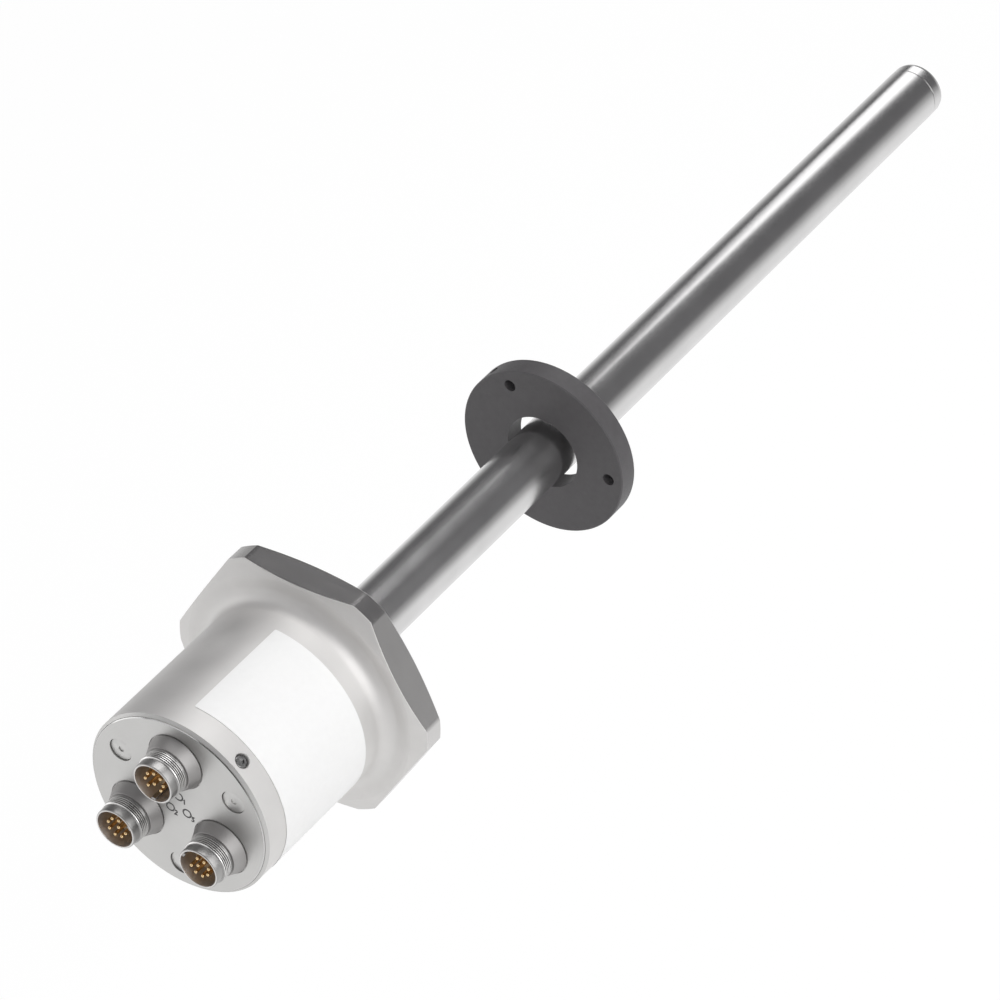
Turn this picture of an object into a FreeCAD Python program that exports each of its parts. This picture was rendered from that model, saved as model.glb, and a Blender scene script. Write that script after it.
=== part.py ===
import FreeCAD, Part
import math
import os

# Rod-type linear position sensor with three measuring channels, in millimetres.
# The rod runs along +X, +Z is up, and the origin is the centre of the flange's mounting face.
# Angles go round X, from +Y towards +Z.

# Measuring length, along the rod from the mounting face
null_zone = 30.0
stroke = 300.0
end_zone = 57.0
magnet_reading = 106.0

# Rod
rod_d = 21.0
rod_wall = 3.0
tip_length = 5.5
tip_bevel_length = 1.5
tip_bevel_depth = 0.45
spigot_length = 6.0
seam_bevel = 0.15

# Threaded stud
stud_wall = 4.45
stud_length = 22.0
stud_bevel = 1.2
relief_depth = 2.3
relief_play = 0.5
tube_seat_depth = 6.0
passage_step = 0.5

# Hexagonal flange
flange_width = 88.0
flange_corner_rise = 4.75
flange_thickness = 11.2
flange_bevel_inset = 0.5
flange_front_bevel = 2.2
flange_back_bevel = 1.65
root_radius = 5.3
root_land = 0.5
seal_recess_depth = 0.3
seal_recess_play = 0.75

# Round body
body_d = 68.6
body_length = 64.9
body_front_bevel = 0.8
lip_wall = 1.0
lip_depth = 2.5
mouth_wall = 3.2
chamber_wall = 4.8
floor_depth = 14.0

# End cap and its screws
cap_thickness = 12.0
cap_edge_bevel = 0.25
cap_screw_angles = (30.0, 150.0, 270.0)
cap_screw_d = 4.0
cap_screw_head_d = 8.4
cap_screw_head_height = 4.0
cap_screw_head_bevel = 0.2
cap_screw_reach = 8.0
cap_screw_key = 2.0
cap_screw_key_depth = 1.6
screw_hole_play = 0.25

# Set screw in the side of the body
lock_screw_d = 4.9
lock_screw_gap = 0.45
lock_screw_angle = 130.0
lock_screw_recess = 0.6
lock_screw_bevel = 0.3
lock_screw_bite = 2.9
lock_screw_key = 2.5
lock_screw_key_depth = 2.0

# Plug connectors on the cap
connector_inset = 14.7
connector_angles = (90.0, -30.0, -150.0)
thread_d = 16.0
thread_length = 4.6
thread_bevel = 0.3
collar_step = 2.1
collar_height = 4.4
collar_taper = 1.7
collar_foot_bevel = 0.3
sleeve_step = 1.0
sleeve_length = 3.1
rim_bevel = 0.15
socket_wall = 0.7
socket_depth = 6.5
tail_step = 0.5
tail_wall = 0.7
insert_step = 3.6
key_width = 1.6
key_height = 0.8
pin_d = 1.2
pin_tip_length = 0.4
pin_tip_d = 0.6
pin_recess = 0.65
pin_tail = 3.5
pin_inset = 2.85
pin_slots = 8
centre_pin_offset = 0.8

# Sealing rings
flange_seal_cord = 3.5
cap_seal_size = 2.0
cap_seal_bevel = 0.5
cap_seal_back = 1.6
gasket_thickness = 1.0
gasket_width = 1.2
gasket_wall = 1.05

# Label
label_offset = 10.2
label_back_gap = 11.7
label_start_angle = 91.0
label_sweep = 165.0
label_thickness = 0.15

# Electronics
board_gap = 1.0
board_thickness = 1.6
board_window_gap = 1.5
board_standoff = 14.0
board_headroom = 12.1
board_count = 3
chip_size = (2.4, 7.0, 9.0)
chip_radius = 19.0
pillar_wall = 1.0
pillar_root_d = 4.0
pillar_root_length = 6.5
spacer_wall = 1.1
spacer_gap = 0.3

# Pick-up coils
holder_seat = 2.0
holder_length = 22.0
coil_gap = 0.93
coil_d = 6.0
coil_length = 14.0
coil_flange = 1.0
coil_winding_depth = 0.3

# Sensing element in the rod
wire_d = 0.7
wire_end = 2.0
guide_d = 2.8
guide_bore_d = 1.2
return_wire_d = 0.8
return_inset = 1.3
disc_thickness = 4.0
disc_pitch = 100.0
disc_first = 12.0
damper_length = 30.0
damper_bite = 20.0

# Ring magnet
magnet_d = 64.0
magnet_gap = 3.5
magnet_thickness = 8.0
magnet_edge = 0.4
magnet_hole_d = 4.4
magnet_hole_inset = 5.5
magnet_hole_angles = (60.0, 180.0, 300.0)
magnet_side_hole_d = 3.3
magnet_side_hole_depth = 8.0
magnet_side_hole_angle = 45.4

# Clearances, on each side
slip = 0.05
loose = 0.1

# Diameters that follow from others
tube_bore_d = rod_d - 2 * rod_wall
rod_bore_d = rod_d + 2 * slip
stud_d = rod_bore_d + 2 * stud_wall
relief_d = stud_d - 2 * relief_depth
seal_recess_d = relief_d + 2 * (slip + flange_seal_cord + seal_recess_play)
passage_d = tube_bore_d + 2 * passage_step
flange_corner_d = flange_width + 2 * flange_corner_rise
flange_bevel_d = flange_width - 2 * flange_bevel_inset
root = min(root_radius, (flange_bevel_d - body_d) / 2 - root_land)
lip_d = body_d - 2 * lip_wall
mouth_d = body_d - 2 * mouth_wall
chamber_d = body_d - 2 * chamber_wall
pillar_d = cap_screw_d + 2 * pillar_wall
spacer_bore_d = pillar_d + 2 * loose
spacer_d = spacer_bore_d + 2 * spacer_wall
cap_screw_pcd = chamber_d - 2 * spacer_gap - spacer_d
connector_pcd = lip_d - 2 * connector_inset
collar_d = thread_d + 2 * collar_step
sleeve_d = thread_d - 2 * sleeve_step
socket_d = sleeve_d - 2 * socket_wall
tail_d = thread_d - 2 * tail_step
tail_bore_d = tail_d - 2 * tail_wall
pin_circle_d = socket_d - 2 * pin_inset
holder_d = passage_d + 2 * holder_seat
board_d = chamber_d - 2 * board_gap
board_window_d = holder_d + 2 * board_window_gap
coil_pcd = (coil_d + coil_gap) / math.sin(math.radians(60))
return_pcd = tube_bore_d - 2 * return_inset
magnet_bore_d = rod_d + 2 * magnet_gap
magnet_hole_pcd = magnet_d - 2 * magnet_hole_inset

# Places along X
rod_length = null_zone + stroke + end_zone
flange_front = -flange_thickness
front = flange_front - body_length
cap_back = front + cap_thickness
floor = -floor_depth
tube_seat = -tube_seat_depth
tube_end = rod_length - tip_length
damper_end = tube_end - spigot_length
damper_start = damper_end - damper_length
holder_front = floor - holder_length
coil_back = holder_front + coil_length
magnet_x = null_zone + magnet_reading
relief_length = flange_seal_cord + relief_play
cap_seal_face = cap_back - cap_seal_back
lock_screw_x = cap_seal_face - cap_seal_size - loose - lock_screw_gap - slip - lock_screw_d / 2
label_width = body_length - label_offset - label_back_gap
board_pitch = (floor - cap_back - board_standoff - board_headroom) / (board_count - 1)
return_angles = [angle + 60.0 for angle in connector_angles]

NEAR = 1e-3


def vector(x, y, z):
    return FreeCAD.Vector(x, y, z)


def turned(points):
    """A solid turned about X, from the corners (x, diameter) of half its section."""
    corners = [vector(x, d / 2, 0) for x, d in points]
    face = Part.Face(Part.makePolygon(corners + corners[:1]))
    return face.revolve(vector(0, 0, 0), vector(1, 0, 0), 360)


def bar(x0, x1, d):
    """A round bar on the X axis."""
    return Part.makeCylinder(d / 2, x1 - x0, vector(x0, 0, 0), vector(1, 0, 0))


def tube(x0, x1, outer_d, inner_d):
    return bar(x0, x1, outer_d).cut(bar(x0, x1, inner_d))


def hexagon_bar(x0, x1, width):
    """A hexagonal bar on the X axis, of that width across its flats."""
    radius = width / math.sqrt(3)
    turns = [math.radians(60 * i) for i in range(6)]
    corners = [vector(x0, radius * math.cos(t), radius * math.sin(t)) for t in turns]
    face = Part.Face(Part.makePolygon(corners + corners[:1]))
    return face.extrude(vector(x1 - x0, 0, 0))


def turn_to(shape, angle):
    """A copy of a shape turned about X by an angle."""
    copy = shape.copy()
    copy.rotate(vector(0, 0, 0), vector(1, 0, 0), angle)
    return copy


def shift_to(shape, pcd, angle):
    """A copy of a shape moved sideways to a place on a pitch circle."""
    turn = math.radians(angle)
    copy = shape.copy()
    copy.translate(vector(0, pcd / 2 * math.cos(turn), pcd / 2 * math.sin(turn)))
    return copy


def around(shape, pcd, angles):
    """Copies of a shape on a pitch circle, as one group."""
    return Part.makeCompound([shift_to(shape, pcd, angle) for angle in angles])


def stand_out(shape, x, angle):
    """A copy of a shape that lies along +X from the origin, set to point outwards at x."""
    copy = shape.copy()
    copy.rotate(vector(0, 0, 0), vector(0, 0, 1), 90)
    copy.translate(vector(x, 0, 0))
    return turn_to(copy, angle)


def circles_at(shape, x, d):
    """The round edges of a shape with diameter d in the plane at x."""
    rounds = [edge for edge in shape.Edges if isinstance(edge.Curve, Part.Circle)]
    in_plane = [edge for edge in rounds if abs(edge.Curve.Center.x - x) < NEAR]
    return [edge for edge in in_plane if abs(2 * edge.Curve.Radius - d) < NEAR]


def flange():
    """Hexagon with its corners turned down and both faces bevelled."""
    blank = turned([
        (flange_front, 0),
        (flange_front, flange_bevel_d),
        (flange_front + flange_front_bevel, flange_corner_d),
        (-flange_back_bevel, flange_corner_d),
        (0, flange_bevel_d),
        (0, 0),
    ])
    return blank.common(hexagon_bar(flange_front, 0, flange_width))


def round_body():
    return turned([
        (front, 0),
        (front, body_d - 2 * body_front_bevel),
        (front + body_front_bevel, body_d),
        (flange_front, body_d),
        (flange_front, 0),
    ])


def stud():
    """Stud with a relief at its root, where the sealing ring lies."""
    return turned([
        (-seal_recess_depth, 0),
        (-seal_recess_depth, relief_d),
        (relief_length, relief_d),
        (relief_length, stud_d),
        (stud_length - stud_bevel, stud_d),
        (stud_length, stud_d - 2 * stud_bevel),
        (stud_length, 0),
    ])


def housing_cavity():
    """Everything bored out on the housing's axis, from the cap's lip to the stud's end."""
    return turned([
        (front, 0),
        (front, lip_d),
        (front + lip_depth, lip_d),
        (front + lip_depth, mouth_d),
        (cap_back, mouth_d),
        (cap_back, chamber_d),
        (floor, chamber_d),
        (floor, passage_d),
        (tube_seat, passage_d),
        (tube_seat, rod_bore_d),
        (stud_length, rod_bore_d),
        (stud_length, 0),
    ])


def lock_hole():
    """Radial hole for the set screw, through the body's wall and into the cap's rim."""
    bottom = mouth_d / 2 - lock_screw_bite
    hole = bar(bottom, body_d / 2, lock_screw_d + 2 * slip)
    return stand_out(hole, lock_screw_x, lock_screw_angle)


def housing():
    solid = flange().cut(bar(-seal_recess_depth, 0, seal_recess_d))
    solid = solid.fuse([round_body(), stud()]).removeSplitter()
    solid = solid.makeFillet(root, circles_at(solid, flange_front, body_d))
    root_hole = bar(floor, floor + pillar_root_length + loose, pillar_root_d + 2 * slip)
    solid = solid.cut(housing_cavity())
    solid = solid.cut(around(root_hole, cap_screw_pcd, cap_screw_angles))
    return solid.cut(lock_hole())


def cap_screw_hole():
    """Counterbored hole for one cap screw."""
    seat = front + cap_screw_head_height
    head = bar(front, seat, cap_screw_head_d + 2 * loose)
    return head.fuse(bar(front, cap_back, cap_screw_d + 2 * screw_hole_play))


def cap_seal_place():
    """Where the cap's sealing ring lies: both its faces and the diameter of its groove's floor."""
    near = cap_seal_face - cap_seal_size
    return near, cap_seal_face, mouth_d - 2 * (cap_seal_size + loose)


def end_cap():
    rim_d = lip_d - 2 * loose
    plug_d = mouth_d - 2 * loose
    solid = turned([
        (front, 0),
        (front, rim_d - 2 * cap_edge_bevel),
        (front + cap_edge_bevel, rim_d),
        (front + lip_depth, rim_d),
        (front + lip_depth, plug_d),
        (cap_back, plug_d),
        (cap_back, 0),
    ])
    seal_front, seal_back, floor_d = cap_seal_place()
    solid = solid.cut(tube(seal_front - loose, seal_back + loose, plug_d, floor_d))
    tail_hole = bar(front, cap_back, tail_d + 2 * slip)
    solid = solid.cut(around(tail_hole, connector_pcd, connector_angles))
    solid = solid.cut(around(cap_screw_hole(), cap_screw_pcd, cap_screw_angles))
    return solid.cut(lock_hole())


def cap_seal():
    """Ring of square section with bevelled edges, in the groove of the cap."""
    near, far, floor_d = cap_seal_place()
    inner_d = floor_d + loose
    outer_d = inner_d + 2 * cap_seal_size
    return turned([
        (near, inner_d + 2 * cap_seal_bevel),
        (near, outer_d - 2 * cap_seal_bevel),
        (near + cap_seal_bevel, outer_d),
        (far - cap_seal_bevel, outer_d),
        (far, outer_d - 2 * cap_seal_bevel),
        (far, inner_d + 2 * cap_seal_bevel),
        (far - cap_seal_bevel, inner_d),
        (near + cap_seal_bevel, inner_d),
    ])


def cap_screws():
    """Flush screws with a hexagon socket."""
    seat = front + cap_screw_head_height
    screw = turned([
        (front, 0),
        (front, cap_screw_head_d - 2 * cap_screw_head_bevel),
        (front + cap_screw_head_bevel, cap_screw_head_d),
        (seat, cap_screw_head_d),
        (seat, cap_screw_d),
        (cap_back + cap_screw_reach, cap_screw_d),
        (cap_back + cap_screw_reach, 0),
    ])
    screw = screw.cut(hexagon_bar(front, front + cap_screw_key_depth, cap_screw_key))
    return around(screw, cap_screw_pcd, cap_screw_angles)


def lock_screw():
    bottom = mouth_d / 2 - lock_screw_bite
    top = body_d / 2 - lock_screw_recess
    screw = turned([
        (bottom, 0),
        (bottom, lock_screw_d),
        (top - lock_screw_bevel, lock_screw_d),
        (top, lock_screw_d - 2 * lock_screw_bevel),
        (top, 0),
    ])
    screw = screw.cut(hexagon_bar(top - lock_screw_key_depth, top, lock_screw_key))
    return stand_out(screw, lock_screw_x, lock_screw_angle)


# Places along X on a connector, counted outwards from the cap's face
collar_top = front - collar_height
thread_top = collar_top - thread_length
rim = thread_top - sleeve_length
socket_floor = rim + socket_depth
insert_shoulder = socket_floor + insert_step


def connector_blank():
    """Outside of a receptacle, on the X axis."""
    return turned([
        (cap_back, 0),
        (cap_back, tail_d),
        (front, tail_d),
        (front, collar_d - 2 * collar_foot_bevel),
        (front - collar_foot_bevel, collar_d),
        (collar_top, collar_d - 2 * collar_taper),
        (collar_top, thread_d),
        (thread_top + thread_bevel, thread_d),
        (thread_top, thread_d - 2 * thread_bevel),
        (thread_top, sleeve_d),
        (rim + rim_bevel, sleeve_d),
        (rim, sleeve_d - 2 * rim_bevel),
        (rim, 0),
    ])


def gasket(play):
    """Flat ring under a connector's collar, with play on its inside and outside."""
    outer_d = collar_d - 2 * gasket_wall
    inner_d = outer_d - 2 * gasket_width
    return tube(front - gasket_thickness, front, outer_d + 2 * play, inner_d - 2 * play)


def connector_shell(angle):
    """Receptacle with a stepped bore, a gasket groove under its collar and a key in its socket."""
    bore = turned([
        (rim, 0),
        (rim, socket_d + 2 * rim_bevel),
        (rim + rim_bevel, socket_d),
        (insert_shoulder, socket_d),
        (insert_shoulder, tail_bore_d),
        (cap_back, tail_bore_d),
        (cap_back, 0),
    ])
    key = Part.makeBox(socket_depth - rim_bevel, key_height + NEAR, key_width)
    key.translate(vector(rim + rim_bevel, socket_d / 2 - key_height, -key_width / 2))
    key = turn_to(key, angle + 180)
    solid = connector_blank().cut([bore, gasket(slip)]).fuse(key)
    return shift_to(solid.removeSplitter(), connector_pcd, angle)


def pin_places(angle):
    """Pitch circle and angle of each pin: a ring with one slot free at the key, and a middle pin."""
    step = 360.0 / pin_slots
    ring = [(pin_circle_d, angle + 180 + step * i) for i in range(1, pin_slots)]
    return ring + [(2 * centre_pin_offset, angle + 180)]


def connector_insert(angle):
    """Moulded insert, held from the front by the shell's shoulder."""
    body = turned([
        (socket_floor, 0),
        (socket_floor, socket_d - 2 * slip),
        (insert_shoulder, socket_d - 2 * slip),
        (insert_shoulder, tail_bore_d - 2 * slip),
        (cap_back, tail_bore_d - 2 * slip),
        (cap_back, 0),
    ])
    hole = bar(socket_floor, cap_back, pin_d + 2 * slip)
    holes = [shift_to(hole, pcd, turn) for pcd, turn in pin_places(angle)]
    return shift_to(body.cut(holes), connector_pcd, angle)


def connector_pins(angle):
    tip = rim + pin_recess
    pin = turned([
        (tip, 0),
        (tip, pin_tip_d),
        (tip + pin_tip_length, pin_d),
        (cap_back + pin_tail, pin_d),
        (cap_back + pin_tail, 0),
    ])
    pins = [shift_to(pin, pcd, turn) for pcd, turn in pin_places(angle)]
    return shift_to(Part.makeCompound(pins), connector_pcd, angle)


def connector_seal(angle):
    return shift_to(gasket(0), connector_pcd, angle)


def label():
    """Foil that wraps part of the way round the body."""
    start = front + label_offset
    inner = body_d / 2 + slip
    foil = Part.makePlane(label_width, label_thickness, vector(start, inner, 0))
    foil = foil.revolve(vector(0, 0, 0), vector(1, 0, 0), label_sweep)
    return turn_to(foil, label_start_angle)


def board_back(index):
    """X of the face of a board that looks at the flange."""
    return floor - board_standoff - board_pitch * index


def circuit_board(index):
    """Round board with a middle window, holes for the pillars and a block for each large chip."""
    back = board_back(index)
    face = back - board_thickness
    board = tube(face, back, board_d, board_window_d)
    hole = bar(face, back, spacer_bore_d)
    board = board.cut(around(hole, cap_screw_pcd, cap_screw_angles))
    height, depth, width = chip_size
    chip = Part.makeBox(height, depth, width)
    chip.translate(vector(face - height, chip_radius - depth / 2, -width / 2))
    chips = [turn_to(chip, angle) for angle in connector_angles]
    return board.fuse(chips).removeSplitter()


def board_pillars():
    """Pillars screwed into the chamber's floor, tapped at the front for the cap screws."""
    pillar = bar(cap_back, floor, pillar_d)
    pillar = pillar.fuse(bar(floor, floor + pillar_root_length, pillar_root_d))
    tapped = bar(cap_back, cap_back + cap_screw_reach + loose, cap_screw_d + 2 * slip)
    return around(pillar.cut(tapped), cap_screw_pcd, cap_screw_angles)


def board_spacers():
    """Sleeves on the pillars, below, between and above the boards."""
    backs = [board_back(i) for i in range(board_count)] + [cap_back]
    faces = [floor] + [back - board_thickness for back in backs[:-1]]
    ends = zip(backs, faces)
    sleeves = [tube(back, face, spacer_d, spacer_bore_d) for back, face in ends]
    return around(Part.makeCompound(sleeves), cap_screw_pcd, cap_screw_angles)


def coil_holder():
    """Moulded block on the chamber's floor, with a pocket for each coil."""
    block = bar(holder_front, floor, holder_d)
    pocket = bar(holder_front, coil_back, coil_d + 2 * slip)
    pocket = pocket.fuse(bar(coil_back, floor, guide_d + 2 * slip))
    wire_hole = bar(holder_front, floor, return_wire_d + 2 * slip)
    block = block.cut(around(pocket, coil_pcd, connector_angles))
    return block.cut(around(wire_hole, return_pcd, return_angles))


def pickup_coil(angle):
    """Coil wound between two flanges."""
    wound_d = coil_d - 2 * coil_winding_depth
    coil = turned([
        (holder_front, 0),
        (holder_front, coil_d),
        (holder_front + coil_flange, coil_d),
        (holder_front + coil_flange, wound_d),
        (coil_back - coil_flange, wound_d),
        (coil_back - coil_flange, coil_d),
        (coil_back, coil_d),
        (coil_back, 0),
    ])
    coil = coil.cut(bar(holder_front, coil_back, guide_bore_d))
    return shift_to(coil, coil_pcd, angle)


def waveguide(angle):
    wire = bar(holder_front - wire_end, damper_start + damper_bite, wire_d)
    return shift_to(wire, coil_pcd, angle)


def guide_tube(angle):
    return shift_to(tube(coil_back, damper_start, guide_d, guide_bore_d), coil_pcd, angle)


def return_wire(angle):
    wire = bar(holder_front - wire_end, damper_start + damper_bite, return_wire_d)
    return shift_to(wire, return_pcd, angle)


def spacer_discs():
    """Discs that centre the guide tubes and return wires in the rod, evenly spaced."""
    disc = bar(0, disc_thickness, tube_bore_d - 2 * loose)
    guide_hole = bar(0, disc_thickness, guide_d + 2 * slip)
    wire_hole = bar(0, disc_thickness, return_wire_d + 2 * slip)
    disc = disc.cut(around(guide_hole, coil_pcd, connector_angles))
    disc = disc.cut(around(wire_hole, return_pcd, return_angles))
    room = damper_start - disc_first - disc_thickness
    count = int(room / disc_pitch) + 1
    return Part.makeCompound([
        disc.translated(vector(disc_first + disc_pitch * i, 0, 0)) for i in range(count)
    ])


def end_damper():
    """Soft plug that takes the ends of the wires."""
    plug = bar(damper_start, damper_end, tube_bore_d - 2 * loose)
    wire_hole = bar(damper_start, damper_start + damper_bite, wire_d + 2 * slip)
    return_hole = bar(damper_start, damper_start + damper_bite, return_wire_d + 2 * slip)
    plug = plug.cut(around(wire_hole, coil_pcd, connector_angles))
    return plug.cut(around(return_hole, return_pcd, return_angles))


def rod_tube():
    outside = turned([
        (tube_seat, 0),
        (tube_seat, rod_d),
        (tube_end - seam_bevel, rod_d),
        (tube_end, rod_d - 2 * seam_bevel),
        (tube_end, 0),
    ])
    return outside.cut(bar(tube_seat, tube_end, tube_bore_d))


def rod_end_plug():
    """Plug welded into the tube, with a spigot inside and a bevelled end."""
    spigot_d = tube_bore_d - 2 * slip
    return turned([
        (damper_end, 0),
        (damper_end, spigot_d),
        (tube_end, spigot_d),
        (tube_end, rod_d - 2 * seam_bevel),
        (tube_end + seam_bevel, rod_d),
        (rod_length - tip_bevel_length, rod_d),
        (rod_length, rod_d - 2 * tip_bevel_depth),
        (rod_length, 0),
    ])


def flange_seal():
    """Round sealing ring at the root of the stud."""
    centre = vector(flange_seal_cord / 2 - seal_recess_depth + slip, 0, 0)
    mean_radius = relief_d / 2 + slip + flange_seal_cord / 2
    return Part.makeTorus(mean_radius, flange_seal_cord / 2, centre, vector(1, 0, 0))


def position_magnet():
    """Ring with three holes for its screws and one tapped hole in its rim."""
    back = magnet_x - magnet_thickness / 2
    face = magnet_x + magnet_thickness / 2
    ring = turned([
        (back, magnet_bore_d),
        (back, magnet_d - 2 * magnet_edge),
        (back + magnet_edge, magnet_d),
        (face - magnet_edge, magnet_d),
        (face, magnet_d - 2 * magnet_edge),
        (face, magnet_bore_d),
    ])
    hole = bar(back, face, magnet_hole_d)
    ring = ring.cut(around(hole, magnet_hole_pcd, magnet_hole_angles))
    side = bar(magnet_d / 2 - magnet_side_hole_depth, magnet_d / 2, magnet_side_hole_d)
    return ring.cut(stand_out(side, magnet_x, magnet_side_hole_angle))


SINGLE = (
    housing,
    end_cap,
    cap_seal,
    cap_screws,
    lock_screw,
    label,
    board_pillars,
    board_spacers,
    coil_holder,
    spacer_discs,
    end_damper,
    rod_tube,
    rod_end_plug,
    flange_seal,
    position_magnet,
)

PER_CHANNEL = (
    connector_shell,
    connector_insert,
    connector_pins,
    connector_seal,
    pickup_coil,
    waveguide,
    guide_tube,
)


def export(name, shape):
    shape.exportStep("parts/" + name + ".step")


def main():
    os.makedirs("parts", exist_ok=True)
    for make in SINGLE:
        export(make.__name__, make())
    for number, angle in enumerate(connector_angles, 1):
        for make in PER_CHANNEL:
            export(f"{make.__name__}_{number}", make(angle))
    for number, angle in enumerate(return_angles, 1):
        export(f"return_wire_{number}", return_wire(angle))
    for index in range(board_count):
        export(f"circuit_board_{index + 1}", circuit_board(index))


main()
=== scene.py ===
import math

import bmesh
import bpy
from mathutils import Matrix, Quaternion, Vector


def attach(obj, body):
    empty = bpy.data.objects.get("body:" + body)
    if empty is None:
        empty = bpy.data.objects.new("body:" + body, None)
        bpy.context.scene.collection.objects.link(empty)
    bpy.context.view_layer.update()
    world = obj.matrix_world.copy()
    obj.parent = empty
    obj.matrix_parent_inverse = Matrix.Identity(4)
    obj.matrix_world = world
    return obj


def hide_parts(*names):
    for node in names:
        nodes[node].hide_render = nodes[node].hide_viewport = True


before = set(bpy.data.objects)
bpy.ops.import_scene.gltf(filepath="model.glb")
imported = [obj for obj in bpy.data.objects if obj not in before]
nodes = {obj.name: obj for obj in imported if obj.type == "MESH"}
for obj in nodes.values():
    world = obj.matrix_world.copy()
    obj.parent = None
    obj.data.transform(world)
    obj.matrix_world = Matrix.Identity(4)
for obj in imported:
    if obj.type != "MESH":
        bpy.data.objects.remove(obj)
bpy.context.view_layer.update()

# Sizes are written in millimetres, as in the CAD source, and scaled to metres when a mesh is made.
MM = 0.001
# An edge is sharp where the surface turns by more than this.
SHARP = math.radians(30)
# Points closer than this, in metres, become one.
JOIN = 1e-7

# Places along X
FRONT = -76.1
CAP_SEAT = FRONT + 2.5
SCREW_SEAT = FRONT + 4.0
CAP_BACK = -64.1
FLANGE_FRONT = -11.2
CHAMBER_FLOOR = -14.0
TUBE_SEAT = -6.0
STUD_END = 22.0
TUBE_END = 381.5
ROD_END = 387.0

CONNECTOR_ANGLES = (90.0, -30.0, -150.0)
CONNECTOR_RADIUS = 18.6
SCREW_ANGLES = (30.0, 150.0, 270.0)
SCREW_RADIUS = 25.0
# Direction of the rod
ALONG = (1, 0, 0)
# How far a cutter stands out of the surface that it cuts
OVER = 1.0
HEXAGON = 6


def polar(radius, angle):
    """The (y, z) of a point on a circle about the X axis."""
    turn = math.radians(angle)
    return radius * math.cos(turn), radius * math.sin(turn)


def steps(start, end, count):
    """Evenly spaced values from start to end, both included."""
    return [start + (end - start) * i / count for i in range(count + 1)]


def evenly(count):
    """Angles of a full turn; the first and the last are the same place."""
    return steps(0.0, 360.0, count)


def arc(centre, radius, start, end, count):
    """Points (x, r) of an arc in a half section, angles from +x towards +r."""
    turns = [math.radians(t) for t in steps(start, end, count)]
    return [(centre[0] + radius * math.cos(t), centre[1] + radius * math.sin(t)) for t in turns]


def add_revolved(bm, rows, angles, centre=(0.0, 0.0), closed=True, zones=None):
    """Adds a surface turned about X. A row is one (x, r), or a list of them, one for each angle.
    A closed section joins its last row to its first; an open one starts and ends on the axis.
    The seam, where the angles close, is joined when the mesh is finished."""
    rings = []
    for row in rows:
        ring = []
        for i, angle in enumerate(angles):
            x, r = row[i] if isinstance(row, list) else row
            y, z = polar(r, angle)
            ring.append(bm.verts.new((x * MM, (centre[0] + y) * MM, (centre[1] + z) * MM)))
        rings.append(ring)
    count = len(rows) if closed else len(rows) - 1
    for j in range(count):
        near, far = rings[j], rings[(j + 1) % len(rings)]
        for i in range(len(angles) - 1):
            face = bm.faces.new((near[i], near[i + 1], far[i + 1], far[i]))
            face.material_index = zones[j] if zones else 0


def add_bar(bm, origin, way, sections, count=48):
    """Adds a closed bar along a direction. A section is a distance from the origin and a radius;
    the count is the number of sides."""
    origin, way = Vector(origin), Vector(way).normalized()
    side = way.orthogonal().normalized()
    other = way.cross(side)
    rings = []
    for distance, radius in sections:
        middle = origin + way * distance
        flat = [polar(radius, angle) for angle in evenly(count)[:-1]]
        rings.append([bm.verts.new((middle + side * u + other * v) * MM) for u, v in flat])
    for near, far in zip(rings, rings[1:]):
        for i in range(count):
            k = (i + 1) % count
            bm.faces.new((near[i], near[k], far[k], far[i]))
    bm.faces.new(rings[0][::-1])
    bm.faces.new(rings[-1])


def add_prism(bm, outline, x0, x1):
    """Adds a closed prism from an outline of (y, z) points, between two places on X."""
    near = [bm.verts.new((x0 * MM, y * MM, z * MM)) for y, z in outline]
    far = [bm.verts.new((x1 * MM, y * MM, z * MM)) for y, z in outline]
    for i in range(len(outline)):
        k = (i + 1) % len(outline)
        bm.faces.new((near[i], near[k], far[k], far[i]))
    bm.faces.new(near[::-1])
    bm.faces.new(far)


def mark_edges(bm):
    """Smooth faces, with a sharp edge wherever the surface turns by more than the limit."""
    for face in bm.faces:
        face.smooth = True
    for edge in bm.edges:
        edge.smooth = len(edge.link_faces) == 2 and edge.calc_face_angle() < SHARP


def to_object(bm, name, materials):
    """Ends a mesh that was built point by point and puts it in the scene."""
    bmesh.ops.remove_doubles(bm, verts=bm.verts, dist=JOIN)
    bmesh.ops.recalc_face_normals(bm, faces=bm.faces)
    mark_edges(bm)
    mesh = bpy.data.meshes.new(name)
    bm.to_mesh(mesh)
    bm.free()
    for material in materials:
        mesh.materials.append(material)
    obj = bpy.data.objects.new(name, mesh)
    bpy.context.scene.collection.objects.link(obj)
    return obj


def cut(obj, bm, zone=0):
    """Cuts the closed shapes in bm out of an object for good. The cut takes the zone's material."""
    for face in bm.faces:
        face.material_index = zone
    cutter = to_object(bm, "cutter", obj.data.materials)
    boolean = obj.modifiers.new("cut", "BOOLEAN")
    boolean.operation = "DIFFERENCE"
    boolean.solver = "MANIFOLD"
    boolean.object = cutter
    depsgraph = bpy.context.evaluated_depsgraph_get()
    made = bpy.data.meshes.new_from_object(obj.evaluated_get(depsgraph))
    obj.modifiers.clear()
    old, old_cutter = obj.data, cutter.data
    bpy.data.objects.remove(cutter)
    bpy.data.meshes.remove(old_cutter)
    clean = bmesh.new()
    clean.from_mesh(made)
    mark_edges(clean)
    clean.to_mesh(made)
    clean.free()
    obj.data = made
    bpy.data.meshes.remove(old)
    made.name = obj.name


def place(obj, body, slot, *replaced):
    """Puts a finished piece on its body, in the place of its CAD nodes."""
    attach(obj, body)
    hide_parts(*replaced)


# Materials

# The part of a noise's range that holds most of its values
NOISE_LOW, NOISE_HIGH = 0.3, 0.7
# The colour sockets of a Mix node
MIX_A, MIX_B, MIX_RESULT = 6, 7, 2


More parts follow.
